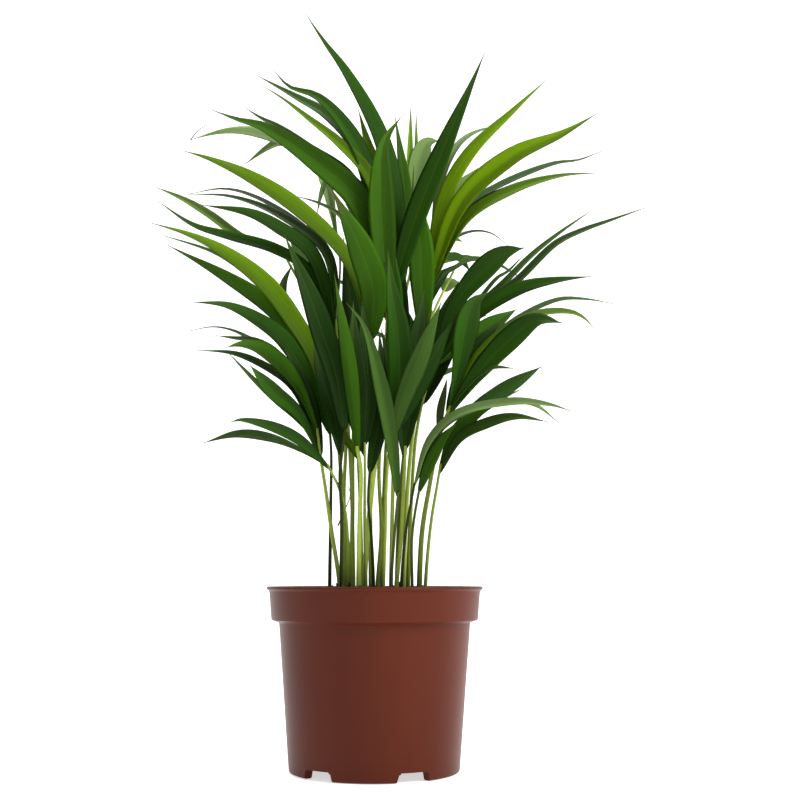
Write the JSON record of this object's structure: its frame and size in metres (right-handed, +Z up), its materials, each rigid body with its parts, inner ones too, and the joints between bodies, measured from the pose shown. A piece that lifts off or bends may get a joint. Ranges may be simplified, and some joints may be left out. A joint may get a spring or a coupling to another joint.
{
  "type": "potted palm",
  "caption": "Young clumping palm with arching fronds of narrow folded leaflets, standing in a round brown plastic nursery pot filled with soil.",
  "frame": {"origin": "middle of the flat pad under the pot, on the surface it stands on", "axes": "+Z up along the pot's axis, -Y towards the front, +X to the right seen from the front"},
  "size_m": [0.2886, 0.2265, 0.4485],
  "materials": {
    "pot_plastic": "satin moulded plastic, terracotta brown",
    "potting_mix": "loose dark peat and bark crumbs",
    "palm_leaf": "smooth living leaf, semi-gloss, fine lengthwise ribs"
  },
  "bodies": {
    "root": {"pot": "pot_plastic", "soil": "potting_mix", "frond_top": "palm_leaf", "frond_right_high": "palm_leaf", "frond_centre_left": "palm_leaf", "frond_left_upper": "palm_leaf", "frond_left_high": "palm_leaf", "frond_left_mid": "palm_leaf", "frond_left_low": "palm_leaf", "frond_dusky": "palm_leaf", "frond_bright": "palm_leaf", "frond_inner_left": "palm_leaf", "frond_shade": "palm_leaf", "frond_silver": "palm_leaf", "frond_centre_right": "palm_leaf", "frond_inner_right": "palm_leaf", "frond_centre_back": "palm_leaf", "frond_right_mid": "palm_leaf", "frond_right_low": "palm_leaf", "frond_right_base": "palm_leaf", "frond_arching": "palm_leaf", "frond_small": "palm_leaf", "frond_back_1": "palm_leaf", "frond_back_2": "palm_leaf", "frond_back_3": "palm_leaf", "frond_back_4": "palm_leaf", "frond_back_5": "palm_leaf", "frond_back_6": "palm_leaf", "frond_back_7": "palm_leaf", "frond_back_8": "palm_leaf"}
  },
  "joints": []
}
